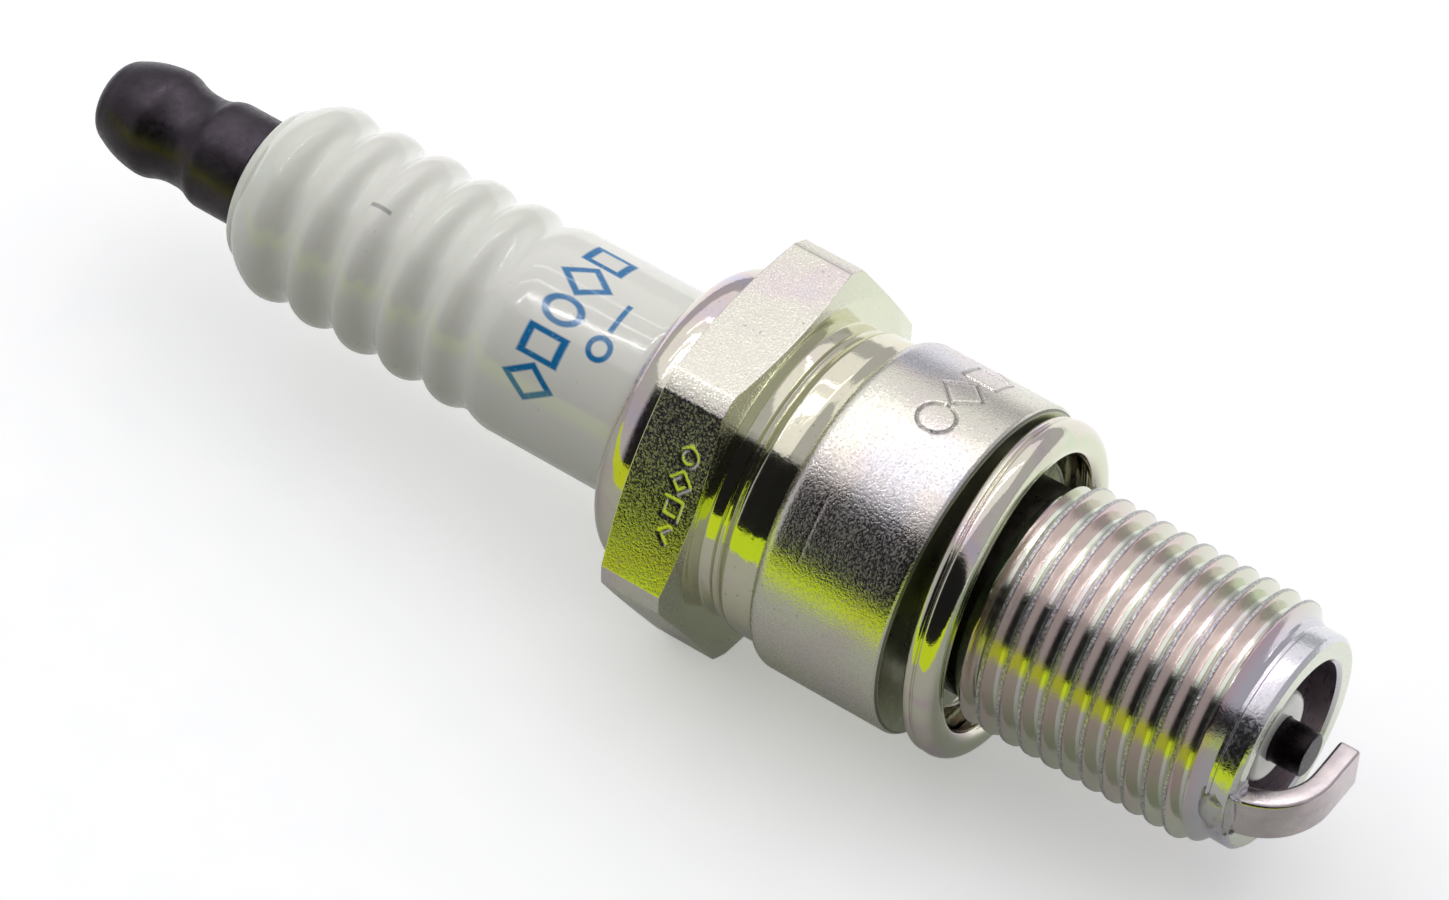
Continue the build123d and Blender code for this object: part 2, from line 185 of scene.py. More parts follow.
class Build:
    """Collects grids of one piece and joins them into a closed mesh."""

    def __init__(self):
        self.points, self.faces, self.slots = [], [], []

    def grid(self, x, radius, angles, slot=0, wrap=True):
        """A grid about the axis. Returns its first and last ring of vertex numbers."""
        rows, columns = x.shape
        rad = np.radians(np.broadcast_to(angles, x.shape))
        base = len(self.points)
        self.points.extend(np.stack([x, radius * np.cos(rad), radius * np.sin(rad)], -1).reshape(-1, 3))
        ids = base + np.arange(rows * columns).reshape(rows, columns)
        near = np.concatenate([ids, ids[:, :1]], 1) if wrap else ids
        quads = np.stack([near[:-1, :-1], near[:-1, 1:], near[1:, 1:], near[1:, :-1]], -1).reshape(-1, 4)
        self.faces.extend(map(tuple, quads.tolist()))
        self.slots.extend([slot] * len(quads))
        return ids[0].tolist(), ids[-1].tolist()

    def zip(self, ring_a, angles_a, ring_b, angles_b, slot=0):
        """Triangles between two rings with different numbers of vertices."""
        n, m, i, j = len(ring_a), len(ring_b), 0, 0
        turn_a, turn_b = [*angles_a, angles_a[0] + 360], [*angles_b, angles_b[0] + 360]
        while i < n or j < m:
            if j >= m or (i < n and turn_a[i + 1] <= turn_b[j + 1]):
                face = (ring_a[i % n], ring_a[(i + 1) % n], ring_b[j % m])
                i += 1
            else:
                face = (ring_a[i % n], ring_b[(j + 1) % m], ring_b[j % m])
                j += 1
            self.faces.append(face)
            self.slots.append(slot)

    def to_object(self, name, materials, sharp=32.0):
        """Make the object, in metres, with shared vertices joined and creases marked by angle."""
        mesh = bpy.data.meshes.new(name)
        mesh.from_pydata((np.array(self.points) * MM).tolist(), [], self.faces)
        for material in materials:
            mesh.materials.append(material)
        mesh.polygons.foreach_set("material_index", self.slots)
        work = bmesh.new()
        work.from_mesh(mesh)
        bmesh.ops.remove_doubles(work, verts=work.verts, dist=2e-7)
        bmesh.ops.dissolve_degenerate(work, edges=work.edges, dist=1e-8)
        bmesh.ops.recalc_face_normals(work, faces=work.faces)
        open_edges = sum(not e.is_manifold for e in work.edges)
        print(f"{name}: {len(work.faces)} faces, {open_edges} open edges, {work.calc_volume() * 1e9:.1f} mm3")
        work.to_mesh(mesh)
        work.free()
        mesh.shade_smooth()
        mesh.set_sharp_from_angle(angle=math.radians(sharp))
        piece = bpy.data.objects.new(name, mesh)
        bpy.context.scene.collection.objects.link(piece)
        return piece


def even(count):
    """Column angles once around."""
    return np.arange(count) * 360 / count


def thread_rows(radius, pitch, depth, phase, envelope, columns, rows_per_flank=7, wear=0.0):
    """A right-hand thread as rows that follow the helix, cut off by an envelope of (x, radius) points."""
    start, end = envelope[0][0], envelope[-1][0]
    flat = pitch / 16
    slope = math.tan(math.radians(30))
    root_edge = flat + depth * slope
    flank = flat + (root_edge - flat) * np.linspace(0, 1, rows_per_flank)
    half = [0, flat * 0.6, *flank, (root_edge + pitch / 2) / 2, pitch / 2]
    turn_rows = np.array([-u for u in half[::-1]] + half[1:-1])
    turns = math.ceil((end - start) / pitch) + 2
    rows = np.concatenate([turn_rows + k * pitch for k in range(-1, turns)])
    angles = np.linspace(0, 360, columns + 1)
    first = phase + math.floor((start - phase) / pitch) * pitch
    x = first + rows[:, None] + pitch * angles[None, :] / 360
    away = np.abs((rows + pitch / 2) % pitch - pitch / 2)
    drop = np.clip((away - flat) / slope, 0, depth)
    profile = radius - drop
    profile = soft_min(profile, np.full_like(profile, radius - 0.012), 0.05)
    profile = -soft_min(-profile, np.full_like(profile, -(radius - depth)), 0.10)
    r = np.repeat(profile[:, None], columns + 1, 1)
    if wear:
        crest = np.clip(1 - away / (2.5 * flat), 0, 1)[:, None]
        rough = speckle(x, r, angles, 3.1) * 0.6 + speckle(x, r, angles, 9.0, 5.0) * 0.4
        r = r - wear * crest * np.clip(rough + 0.1, 0, 1)
    limit = np.interp(x, [p[0] for p in envelope], [p[1] for p in envelope])
    clamped = np.clip(x, start, end)
    r = np.minimum(r, limit)
    r = np.where(x <= start, envelope[0][1], np.where(x >= end, envelope[-1][1], r))
    return clamped, r, angles


# ======== marks ========

def ring_mark(a, b, size):
    return np.abs(np.hypot(a, b) - size)


def diamond_mark(a, b, size):
    return np.abs(np.abs(a) + np.abs(b) - size * 1.2) / math.sqrt(2)


def square_mark(a, b, size):
    return np.abs(np.maximum(np.abs(a), np.abs(b)) - size)


def chevron_mark(a, b, size):
    return np.where(np.abs(b) < size * 1.1, np.abs(np.abs(b) - a - size * 0.5) / math.sqrt(2), 9.0)


def stamp_depth(a, b, marks, size, spacing, stroke, depth):
    """Depth of a row of stamped outlines: a is across the row, b runs along it from its middle."""
    first = -(len(marks) - 1) / 2
    near = np.full(a.shape, 9.0)
    for i, mark in enumerate(marks):
        near = np.minimum(near, mark(a, b - (first + i) * spacing, size))
    edge = np.clip((stroke - near) / (stroke * 0.7), 0, 1)
    return depth * edge * edge * (3 - 2 * edge)


# ======== shell ========

def shell_columns():
    """Angles of the shell's rear half: even, denser at hexagon corners and at the stamps."""
    half_strip = math.degrees(math.acos(HEX_APOTHEM / HEX_CORNER_R))
    exact = [
        corner + side * (30 - half_strip) + shift
        for corner in range(0, 360, 60)
        for side in (-1, 1)
        for shift in (-0.5, -0.2, 0, 0.2, 0.5)
    ]
    dense = [(STAMPED_FACET - 17, STAMPED_FACET + 15), (FLANGE_STAMP_ANGLE - 30, FLANGE_STAMP_ANGLE + 30)]
    angles, here = [], 0.0
    while here < 360:
        angles.append(here)
        here += 0.5 if any(a <= here < b for a, b in dense) else 1.5
    exact = sorted(a % 360 for a in exact)
    kept = [a for a in angles if min(abs(a - e) for e in exact) > 0.14]
    return np.array(sorted(kept + exact))


def hexagon_rows(angles):
    """Rows over the hexagon, which follow the edge between its rims and its flats."""
    across = angles % 60 - 30
    flat = HEX_APOTHEM / np.cos(np.radians(across))
    radius = soft_min(flat, np.full_like(flat, HEX_CORNER_R), 0.03)
    rim = HEX_RIM * (radius - HEX_RIM_R) / (HEX_CORNER_R - HEX_RIM_R)
    rise = radius - HEX_RIM_R
    x_rows, r_rows = [], []
    for share in (0.0, 0.12, 0.5, 0.85, 0.95):
        x_rows.append(HEX_REAR + rim * share)
        r_rows.append(HEX_RIM_R + rise * share)
    rear, front = HEX_REAR + rim, HEX_FRONT - rim
    soft = 0.015
    for share in np.concatenate([[0.0, 0.006, 0.014], np.linspace(0.03, 0.97, 62), [0.986, 0.994, 1.0]]):
        x_rows.append(rear + (front - rear) * share)
        near_edge = min(share, 1 - share) < 0.004
        r_rows.append(radius - (soft if near_edge else 0))
    for share in (0.95, 0.85, 0.5, 0.12, 0.0):
        x_rows.append(HEX_FRONT - rim * share)
        r_rows.append(HEX_RIM_R + rise * share)
    x, r = np.array(x_rows), np.array(r_rows)
    facing = np.abs(angles - STAMPED_FACET) < 20
    along = HEX_APOTHEM * np.tan(np.radians(np.where(facing, angles - STAMPED_FACET, 0)))
    marks = [ring_mark, diamond_mark, square_mark, chevron_mark]
    row = along[None, :] - FACET_STAMP_SHIFT + 0 * x
    across = x - FACET_STAMP_X
    depth = stamp_depth(across, row, marks, size=0.46, spacing=1.5, stroke=0.15, depth=0.035)
    r = r - np.where(facing[None, :], depth, 0)
    return x, r


def flange_rows(points, angles):
    """The flange's rows, with stamped outlines and one scratch."""
    x, r = turned_rows(points, angles)
    along = np.radians(angles - FLANGE_STAMP_ANGLE)[None, :] * FLANGE_R + 0 * x
    marks = [chevron_mark, square_mark, diamond_mark, ring_mark]
    facing = (np.abs(along) < 5) & (r > FLANGE_R - 0.01)
    across = x - FLANGE_STAMP_X
    depth = stamp_depth(across, along, marks, size=1.02, spacing=2.6, stroke=0.12, depth=0.08)
    first, last = SCRATCH_ANGLES
    inside = np.clip(np.minimum(angles - first, last - angles) / 4, 0, 1)[None, :]
    scratch = SCRATCH_DEPTH * inside * np.clip(1 - np.abs(x - SCRATCH_X) / 0.12, 0, 1)
    return x, r - np.where(facing, depth, 0) - scratch


def shell_rear(build, angles):
    """Crimped dome, hexagon, waist and flange. Returns the first and last ring."""
    dome = outline(
        (LIP_X, LIP_R + 0.35), (LIP_X, DOME_R, 2.0), (HEX_REAR - 0.12, DOME_R), (HEX_REAR, DOME_R + 0.12),
        (HEX_REAR, HEX_RIM_R), step=0.25,
    )
    start, _ = build.grid(*turned_rows(dome, angles), angles, GLOSS)
    build.grid(*hexagon_rows(angles), angles, HEXAGON)
    waist = outline(
        (HEX_FRONT, HEX_RIM_R), (HEX_FRONT, WAIST_R + 0.15, 0.12), (RIDGE_X - 0.22, WAIST_R, 0.2),
        (RIDGE_X, WAIST_R + 0.2, 0.05), (RIDGE_X + 0.15, WAIST_R + 0.05, 0.08),
        (BULGE_START, BULGE_R, 0.5), (BULGE_END, BULGE_R, 0.5), (-FLANGE_LENGTH, WAIST_R + 0.1, 0.05),
        (-FLANGE_LENGTH, FLANGE_R - 0.9), step=0.2,
    )
    build.grid(*turned_rows(waist, angles), angles, WAIST)
    flange = outline(
        (-FLANGE_LENGTH, FLANGE_R - 0.9), (-FLANGE_LENGTH, FLANGE_R, 0.85), (BAND_START, FLANGE_R), step=0.3,
    )
    build.grid(*turned_rows(flange, angles), angles, SATIN)
    along = np.arange(BAND_START, BAND_END + 0.01, BAND_STEP)
    band = np.column_stack([along, np.full(len(along), FLANGE_R)])
    band[-1, 0] = BAND_END
    build.grid(*flange_rows(band, angles), angles, SATIN)
    middle = (-0.125, (FLANGE_R + SEAT_R) / 2)
    rim = outline((BAND_END, FLANGE_R), (-0.25, FLANGE_R, 0.12), middle, step=0.4)
    build.grid(*turned_rows(rim, angles), angles, SATIN)
    # The seat face takes the nearly black slot: painted shadow under the gasket.
    seat = outline(middle, (0, SEAT_R, 0.1), (0, NECK_R + 0.5), step=0.6)
    _, end = build.grid(*turned_rows(seat, angles), angles, SHADOWED_SEAT)
    return start, end


def shell_front(build, count):
    """Neck, thread, pilot, ring face and bore. Returns the first and last ring."""
    angles = even(count)
    neck = outline((0, NECK_R + 0.4), (0, NECK_R, 0.3), (NECK_LENGTH, NECK_R), step=0.5)
    start, _ = build.grid(*turned_rows(neck, angles), angles, SHADOWED_SEAT)
    pilot_step = THREAD_END + 0.3
    envelope = [
        (NECK_LENGTH, NECK_R), (NECK_LENGTH + 1.0, THREAD_R + 0.1),
        (THREAD_END - 1.0, THREAD_R + 0.1), (THREAD_END, PILOT_R - 0.1),
    ]
    x, r, sheared = thread_rows(
        THREAD_R, THREAD_PITCH, THREAD_DEPTH, THREAD_PHASE, envelope, count, wear=0.05
    )
    build.grid(x, r, sheared, THREAD, wrap=False)
    nose = outline(
        (THREAD_END, PILOT_R - 0.1), (THREAD_END + 0.2, PILOT_R - 0.1, 0.05), (pilot_step, PILOT_R, 0.05),
        (RING_X - 0.25, PILOT_R, 0.12), (RING_X, PILOT_R - 0.25, 0.1), (RING_X, CHAMBER_R + 0.2, 0.04),
        (RING_X - 0.2, CHAMBER_R), step=0.25,
    )
    build.grid(*turned_rows(nose, angles), angles, PILOT)
    bore = outline(
        (RING_X - 0.2, CHAMBER_R), (CHAMBER_START, CHAMBER_R, 0.3), (THROAT_END, THROAT_R, 0.2),
        (THROAT_START, THROAT_R), (LEDGE_START, MID_BORE_R), (MID_BORE_START, MID_BORE_R),
        (CAVITY_END, CAVITY_R), (CAVITY_START, CAVITY_R), (LIP_X + 0.8, LIP_R), (LIP_X, LIP_R, 0.25),
        (LIP_X, LIP_R + 0.3), step=1.0,
    )
    _, end = build.grid(*turned_rows(bore, angles), angles, BORE)
    return start, end, angles


def make_shell(materials):
    build = Build()
    rear_angles = shell_columns()
    rear_start, rear_end = shell_rear(build, rear_angles)
    front_start, front_end, front_angles = shell_front(build, 216)
    build.zip(rear_end, rear_angles, front_start, front_angles, SHADOWED_SEAT)
    build.zip(front_end, front_angles, rear_start, rear_angles, GLOSS)
    return build.to_object("shell_body", materials)


# ======== insulator, terminal and electrodes ========

def insulator_outline():
    """The closed outline of the ribbed insulator."""
    step = RIB_SPACING / 2
    wave = []
    for i in range(RIB_COUNT):
        wave.append((RIB_FIRST + 2 * i * step, RIB_R + RIB_GROWTH * i))
        wave.append((RIB_FIRST + (2 * i + 1) * step, GROOVE_R + RIB_GROWTH * i))
    wave[-1] = (wave[-1][0], GROOVE_R + 0.42)
    wave.append((RIB_FIRST + 2 * RIB_COUNT * step, RIB_R + 0.2))
    here = (RIB_FIRST - step / 2, RIB_R - 0.14)
    shoulder = (CERAMIC_TOP + 0.6, 4.64)
    points = [(CERAMIC_TOP, STUD_R + 0.2), (CERAMIC_TOP, 3.3)]
    points += arc((CERAMIC_TOP, 4.05), (CERAMIC_TOP + 0.18, 4.46), shoulder, 9)
    points += arc(shoulder, (CERAMIC_TOP + 1.25, 5.22), here, 9)[1:]
    for (x, radius), (next_x, next_radius) in zip(wave, wave[1:]):
        there = ((x + next_x) / 2, (radius + next_radius) / 2)
        points += arc(here, (x, radius), there, 13)[1:]
        here = there
    points += arc(here, (here[0] + 0.4, CERAMIC_R - 0.085), (PLAIN_START, CERAMIC_R), 9)[1:]
    hidden = outline(
        (PLAIN_START, CERAMIC_R), (PLAIN_END, CERAMIC_R), (PLAIN_END + 0.1, CERAMIC_R - 0.05),
        (COLLAR_START - 0.5, CERAMIC_R - 0.05), (COLLAR_START, COLLAR_R, 0.2), (COLLAR_END, COLLAR_R, 0.3),
        (CORE_START, CORE_R, 0.3),
        (SEAT_START, CORE_R), (SEAT_START + 0.8, 3.75), (SEAT_START + 1.3, 3.65), (NOSE_TIP - 0.45, NOSE_R),
        step=0.7,
    )
    points += list(map(tuple, hidden[1:]))
    round_start, round_end = (NOSE_TIP - 0.45, NOSE_R), (NOSE_TIP, NOSE_R - 0.45)
    points += arc(round_start, (NOSE_TIP - 0.13, NOSE_R - 0.13), round_end, 8)[1:]
    bore = outline(
        (NOSE_TIP, NOSE_R - 0.45), (NOSE_TIP, PIN_BORE_R, 0.06), (2.4, PIN_BORE_R), (1.6, BORE_R),
        (CERAMIC_TOP, BORE_R, 0.1), (CERAMIC_TOP, STUD_R + 0.2), step=1.5,
    )
    return points + list(map(tuple, bore[1:]))


def make_insulator(materials):
    build = Build()
    angles = even(180)
    x, r = turned_rows(insulator_outline(), angles)
    outside = (r > 4.5) & (x < PLAIN_END)
    wobble = speckle(x[:, ::6], r[:, ::6], angles[::6], 0.35)
    wobble = np.repeat(wobble, 6, 1)
    kernel = np.array([np.roll(wobble, k, 1) for k in range(-6, 7)]).mean(0)
    build.grid(x, r + np.where(outside, kernel * 0.02, 0), angles)
    return build.to_object("ceramic_insulator", materials, sharp=40)


def make_nut(materials):
    base = CERAMIC_TOP - STUD_COLLAR
    tip = base - NUT_LENGTH
    points = [(tip, 0.0), (tip, 0.8), (tip, 1.45)]
    for start, middle, end in KNOB_ARCS:
        points += [(tip + x, r) for x, r in arc(start, middle, end, 10)]
    hole_end = base - NUT_BORE
    rest = outline(
        (tip + KNOB_END, KNOB_R), (base, KNOB_R, 0.12), (base, NUT_BORE_R, 0.15),
        (hole_end + 0.6, NUT_BORE_R, 0.2), (hole_end, 0.0), step=0.6,
    )
    points += list(map(tuple, rest[1:]))
    build = Build()
    angles = even(128)
    x, r = turned_rows(points, angles)
    build.grid(x, r, angles)
    return build.to_object("terminal_cap_nut", materials)


def make_stud(materials):
    collar_x = CERAMIC_TOP - STUD_COLLAR
    end = collar_x - STUD_LENGTH
    neck = STUD_R - STUD_DEPTH - 0.02
    build = Build()
    count = 96
    angles = even(count)
    tip = outline((end, 0), (end, STUD_R - 0.45, 0.05), (end + 0.02, STUD_R - 0.44), step=0.5)
    build.grid(*turned_rows(tip, angles), angles)
    envelope = [
        (end + 0.02, STUD_R - 0.44), (end + 0.55, STUD_R + 0.1),
        (collar_x - 1.0, STUD_R + 0.1), (collar_x - 0.5, neck),
    ]
    x, r, sheared = thread_rows(STUD_R, STUD_PITCH, STUD_DEPTH, end, envelope, count, 4)
    build.grid(x, r, sheared, wrap=False)
    rod = outline(
        (collar_x - 0.5, neck), (collar_x, neck, 0.1), (collar_x, STUD_COLLAR_R, 0.08),
        (CERAMIC_TOP, STUD_COLLAR_R, 0.08), (CERAMIC_TOP, STUD_TAIL_R), (STUD_TAIL_END, STUD_TAIL_R),
        (SERRATED_START, SERRATED_R), (SERRATED_END, SERRATED_R, 0.1), (SERRATED_END, 0), step=1.0,
    )
    x, r = turned_rows(rod, angles)
    notched = (x > SERRATION_START) & (x < SERRATION_END) & (r > SERRATED_R - 0.1)
    r = r - np.where(notched, SERRATION_DEPTH * (np.cos(np.radians(angles * SERRATIONS)) > 0.5), 0)
    build.grid(x, r, angles)
    return build.to_object("terminal_stud_body", materials)


def make_pin(materials):
    points = outline(
        (PIN_START, COPPER_R), (PIN_START, PIN_HEAD_R, 0.1), (PIN_COLLAR_START, PIN_HEAD_R),
        (PIN_COLLAR_START, PIN_COLLAR_R, 0.1), (PIN_COLLAR_END, PIN_COLLAR_R, 0.1), (PIN_STEM_START, PIN_R),
        (PIN_TIP - 0.02, PIN_R, 0.13), (PIN_TIP, PIN_R - 0.15, 0.1), (PIN_TIP, 0.0), step=0.5,
    )
    inside = outline((COPPER_END, 0.0), (COPPER_END, COPPER_R), (PIN_START, COPPER_R), step=2.0)
    build = Build()
    angles = even(96)
    x, r = turned_rows(points, angles)
    tip = (x > PIN_TIP - 1.2) & (r > 0.2)
    x = x + np.where(tip & (x > PIN_TIP - 0.05), 0.012 * speckle(x, r, angles, 2.4), 0)
    build.grid(x, r, angles)
    build.grid(*turned_rows(inside, angles), angles)
    return build.to_object("firing_pin", materials)


def make_gasket(materials):
    """Folded sheet washer with its fold line, leaning on the neck."""
    section = outline(*GASKET_SECTION, step=0.14)
    build = Build()
    angles = even(216)
    x, r = turned_rows(section, angles)
    bend = speckle(x[:, ::8], r[:, ::8], angles[::8], 0.22)
    smooth = np.array([np.roll(np.repeat(bend, 8, 1), k, 1) for k in range(-8, 9)]).mean(0)
    build.grid(x + 0.03 * smooth, r, angles)
    piece = build.to_object("gasket_folded", materials, sharp=50)
    lean = Matrix.Rotation(math.radians(GASKET_LEAN), 4, "X")
    tilt = Matrix.Rotation(math.radians(-GASKET_TILT), 4, "Z")
    piece.data.transform(Matrix.Translation((GASKET_X * MM, 0, 0)) @ lean @ tilt @ lean.inverted())
    return piece


def rounded_section(half_width, half_height, corner, count=6):
    """Points of a rounded rectangle, once around."""
    points = []
    for quarter in range(4):
        sx, sy = ((1, 1), (-1, 1), (-1, -1), (1, -1))[quarter]
        for k in range(count):
            turn = math.radians(quarter * 90 + 90 * k / (count - 1))
            points.append((
                sx * (half_width - corner) + corner * math.cos(turn),
                sy * (half_height - corner) + corner * math.sin(turn),
            ))
    return np.array(points)


def strap_path():
    """Centre line of the strap as (x, radius, direction angle), from the ring face to its end."""
    arm_x = PIN_TIP + GAP + STRAP_THICKNESS / 2
    bend_x = arm_x - STRAP_BEND_R
    foot = math.asin((RING_X - bend_x) / STRAP_BEND_R)
    path = []
    for turn in np.linspace(foot, math.pi / 2, 26):
        path.append((
            bend_x + STRAP_BEND_R * math.sin(turn), STRAP_BEND_CENTRE_R + STRAP_BEND_R * math.cos(turn), turn
        ))
    for radius in np.linspace(STRAP_BEND_CENTRE_R, STRAP_END, 12)[1:]:
        path.append((arm_x, radius, math.pi / 2))
    return path


def make_strap(materials):
    """Ground strap: a rounded bar bent over the pin, drawn in a little at its sheared end."""
    section = rounded_section(STRAP_WIDTH / 2, STRAP_THICKNESS / 2, 0.2)
    count = len(section)
    path = strap_path()
    x, radius, turn = path.pop()
    rows = [(*place, 1.0) for place in path]
    rows += [(x, radius + inset, turn, scale) for inset, scale in STRAP_TIP]
    about_axis = Matrix.Rotation(math.radians(STRAP_ANGLE), 4, "X")
    build = Build()
    rings = []
    for x, radius, turn, scale in rows:
        rings.append(range(len(build.points), len(build.points) + count))
        for across, outward in section * (1, scale):
            across *= 1 - (1 - scale) * 0.5
            dent = 0.012 * (noise.noise(Vector((x, radius, across)) * 1.3) - 1)
            out = outward + dent * (1 if outward > 0 else -1)
            point = Vector((x + math.sin(turn) * out, radius + math.cos(turn) * out, across))
            build.points.append(tuple(about_axis @ point))
    for a, b in zip(rings, rings[1:]):
        for k in range(count):
            build.faces.append((a[k], a[(k + 1) % count], b[(k + 1) % count], b[k]))
    build.faces += [tuple(rings[0]), tuple(rings[-1])]
    build.slots = [0] * len(build.faces)
    return build.to_object("ground_strap", materials, sharp=38)


def lump(name, centre, radii, seed, roughness, materials):
    """A small lumpy bead of weld metal: an ellipsoid with folds, in millimetres about the strap's foot."""
    build = Build()
    rows, columns = 22, 32
    angles = even(columns)
    for i in range(rows + 1):
        polar = math.pi * i / rows
        for angle in np.radians(angles):
            out = math.sin(polar)
            direction = Vector((math.cos(polar), out * math.cos(angle), out * math.sin(angle)))
            folds = noise.noise(direction * 1.7 + Vector((seed, 0, 0)))
            folds += 0.5 * noise.noise(direction * 4.3 + Vector((seed, 3, 0)))
            size = 1 + roughness * folds
            build.points.append(tuple(direction[k] * radii[k] * size for k in range(3)))
    for i in range(rows):
        for k in range(columns):
            a, b = i * columns + k, i * columns + (k + 1) % columns
            build.faces.append((a, b, b + columns, a + columns))
            build.slots.append(0)
    place = Matrix.Rotation(math.radians(STRAP_ANGLE), 4, "X") @ Matrix.Translation(centre)
    build.points = [tuple(place @ Vector(p)) for p in build.points]
    return build.to_object(name, materials, sharp=60)


def make_welds(materials):
    """Flash around the strap's foot and the flattened bulge below it on the pilot."""
    return [lump(*bead, materials) for bead in WELD_BEADS]


# ======== materials ========

class Nodes:
    """Short forms for the node tree of a new material, or of another owner."""

    def __init__(self, name, owner=None):
        self.owner = owner or bpy.data.materials.new(name)
        self.owner.use_nodes = True
        self.tree = self.owner.node_tree
        self.shader = self.tree.nodes.get("Principled BSDF")
        self.place = self.new("ShaderNodeTexCoord").outputs["Object"]

    def new(self, kind, **values):
        node = self.tree.nodes.new(kind)
        for key, value in values.items():
            setattr(node, key, value)
        return node

    def link(self, source, target):
        self.tree.links.new(source, target)

    def put(self, value, target):
        if hasattr(value, "is_output"):
            self.link(value, target)
        else:
            target.default_value = value

    def math(self, operation, a, b=0.0, c=0.0, clamp=False):
        node = self.new("ShaderNodeMath", operation=operation, use_clamp=clamp)
        for value, target in zip((a, b, c), node.inputs):
            self.put(value, target)
        return node.outputs[0]

    def noise(self, scale, detail=3.0, roughness=0.5, distortion=0.0, source=None, stretch=None):
        """Noise from 0 to 1 with a scale in features per millimetre."""
        source = source or self.place
        mapping = self.new("ShaderNodeMapping")
        mapping.inputs["Scale"].default_value = stretch or (1, 1, 1)
        self.link(source, mapping.inputs["Vector"])
        node = self.new("ShaderNodeTexNoise")
        self.link(mapping.outputs[0], node.inputs["Vector"])
        node.inputs["Scale"].default_value = scale / MM
        node.inputs["Detail"].default_value = detail
        node.inputs["Roughness"].default_value = roughness
        node.inputs["Distortion"].default_value = distortion
        return node.outputs["Fac"]

    def remap(self, value, low, high, to_low=0.0, to_high=1.0):
        node = self.new("ShaderNodeMapRange")
        self.put(value, node.inputs["Value"])
        for target, number in zip(node.inputs[1:5], (low, high, to_low, to_high)):
            target.default_value = number
        return node.outputs[0]

    def mix(self, share, a, b, blend="MIX"):
        node = self.new("ShaderNodeMix", data_type="RGBA", blend_type=blend)
        self.put(share, node.inputs[0])
        for value, target in ((a, node.inputs[6]), (b, node.inputs[7])):
            self.put(value if hasattr(value, "is_output") else (*value, 1.0), target)
        return node.outputs[2]

    def ramp(self, value, *stops):
        """Colours by position along 0 to 1."""
        node = self.new("ShaderNodeValToRGB")
        elements = node.color_ramp.elements
        elements.remove(elements[1])
        elements[0].position, elements[0].color = stops[0][0], (*stops[0][1], 1.0)
        for position, colour in stops[1:]:
            elements.new(position).color = (*colour, 1.0)
        self.put(value, node.inputs[0])
        return node.outputs[0]

    def bump(self, height, distance, strength=1.0, below=None):
        """A bump with a depth in millimetres."""
        node = self.new("ShaderNodeBump")
        node.inputs["Strength"].default_value = strength
        node.inputs["Distance"].default_value = distance * MM
        self.link(height, node.inputs["Height"])
        if below is not None:
            self.link(below, node.inputs["Normal"])
        return node.outputs[0]

    def finish(self, colour=None, roughness=None, normal=None, **numbers):
        for name, value in (("Base Color", colour), ("Roughness", roughness)):
            if value is not None:
                if isinstance(value, tuple):
                    value = (*value, 1.0)
                self.put(value, self.shader.inputs[name])
        if normal is not None:
            self.link(normal, self.shader.inputs["Normal"])
        for name, value in numbers.items():
            self.shader.inputs[name.replace("_", " ")].default_value = value
        return self.owner

    def split(self, vector):
        """The three parts of a vector."""
        node = self.new("ShaderNodeSeparateXYZ")
        self.link(vector, node.inputs[0])
        return node.outputs[0], node.outputs[1], node.outputs[2]

    def around(self):
        """X in millimetres, and the angle about the axis in radians."""
        x, y, z = self.split(self.place)
        return self.math("MULTIPLY", x, 1 / MM), self.math("ARCTAN2", z, y)

    def radius(self):
        """Distance from the plug's axis in millimetres."""
        _, y, z = self.split(self.place)
        square = self.math("ADD", self.math("MULTIPLY", y, y), self.math("MULTIPLY", z, z))
        return self.math("MULTIPLY", self.math("SQRT", square), 1 / MM)

    def toward(self, angle):
        """Distance in millimetres from the plug's axis along one direction, in degrees about the axis."""
        _, y, z = self.split(self.place)
        across = self.math("MULTIPLY", y, math.cos(math.radians(angle)) / MM)
        return self.math("ADD", across, self.math("MULTIPLY", z, math.sin(math.radians(angle)) / MM))

    def inside(self, value, low, high, soft=0.1):
        """One between two limits, and zero outside them."""
        return self.math("MULTIPLY", self.remap(value, low - soft, low), self.remap(value, high + soft, high))

    def facing_x(self):
        """How far the surface faces along the plug, from -1 to 1."""
        return self.split(self.new("ShaderNodeTexCoord").outputs["Normal"])[0]


CHAMPAGNE, ROSE = (0.78, 0.74, 0.63), (0.76, 0.64, 0.64)
PALE_GREEN, LILAC = (0.64, 0.74, 0.56), (0.64, 0.62, 0.76)
FRONT_GREEN = (0.64, 0.70, 0.50)
THREAD_BLUSH_ANGLE = 125.0


def stamp_shade(n):
    """Mask of the painted shade in the stamped marks: one inside the stamped marks of the flange and of one
    hexagon flat.
    """
    x, _ = n.around()
    flange = n.math(
        "MULTIPLY", n.inside(n.radius(), FLANGE_R - 0.2, FLANGE_R - 0.03, 0.02),
        n.inside(x, FLANGE_STAMP_X - 1.4, FLANGE_STAMP_X + 1.4),
    )
    sunk = n.inside(n.toward(STAMPED_FACET), HEX_APOTHEM - 0.2, HEX_APOTHEM - 0.03, 0.02)
    row = n.math(
        "MULTIPLY", n.inside(x, FACET_STAMP_X - 1.0, FACET_STAMP_X + 1.0),
        n.inside(n.toward(STAMPED_FACET - 90), -4.6, 4.6),
    )
    return n.math("MAXIMUM", flange, n.math("MULTIPLY", sunk, row))


